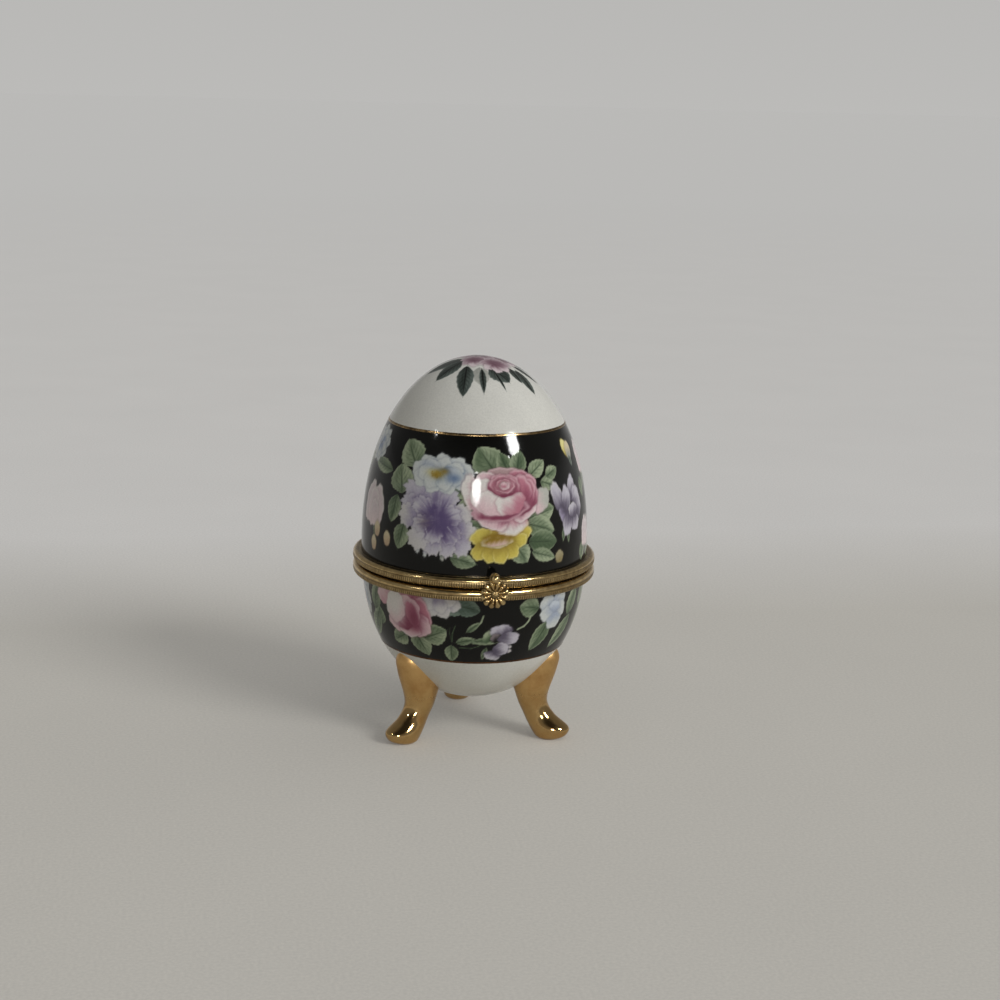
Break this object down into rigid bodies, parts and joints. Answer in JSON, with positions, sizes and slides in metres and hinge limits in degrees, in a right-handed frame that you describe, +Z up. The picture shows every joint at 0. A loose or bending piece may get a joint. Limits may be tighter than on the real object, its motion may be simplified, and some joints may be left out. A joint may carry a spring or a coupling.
{
  "type": "egg trinket box",
  "caption": "Egg-shaped hinged porcelain trinket box with brass bezels, a flower clasp and gilded cabriole legs; a lid opens backwards on a rear hinge.",
  "frame": {"origin": "on the floor under the egg's upright axis, between the three feet", "axes": "+Z up along the egg's axis; the clasp faces -Y and the hinge is at +Y; +X to the right seen from the front"},
  "size_m": [0.0582, 0.0645, 0.0911],
  "materials": {
    "porcelain": "gloss",
    "gilding": "polished",
    "brass": "satin",
    "cement": "matte"
  },
  "bodies": {
    "base": {"base_shell": "porcelain", "base_bezel": "brass", "base_cement": "cement", "leg_right": "gilding", "leg_left": "gilding", "leg_rear": "gilding", "hinge_leaf_base": "brass", "hinge_pin": "brass", "clasp_stud": "brass"},
    "lid": {"lid_shell": "porcelain", "lid_bezel": "brass", "lid_cement": "cement", "hinge_leaf_lid": "brass", "clasp_rivet": "brass"},
    "clasp": {"clasp_tab": "brass", "clasp_bead": "brass", "clasp_flower": "brass"}
  },
  "joints": [
    {"name": "lid_hinge", "type": "hinge", "parent": "base", "child": "lid", "pos_m": [0, 0.03055, 0.042], "axis": [-1, 0, 0], "range_deg": [0, 105]},
    {"name": "clasp_flex", "type": "hinge", "parent": "lid", "child": "clasp", "pos_m": [0, -0.02962, 0.04335], "axis": [-1, 0, 0], "range_deg": [0, 10], "stiffness_Nm_per_rad": 0.03}
  ]
}
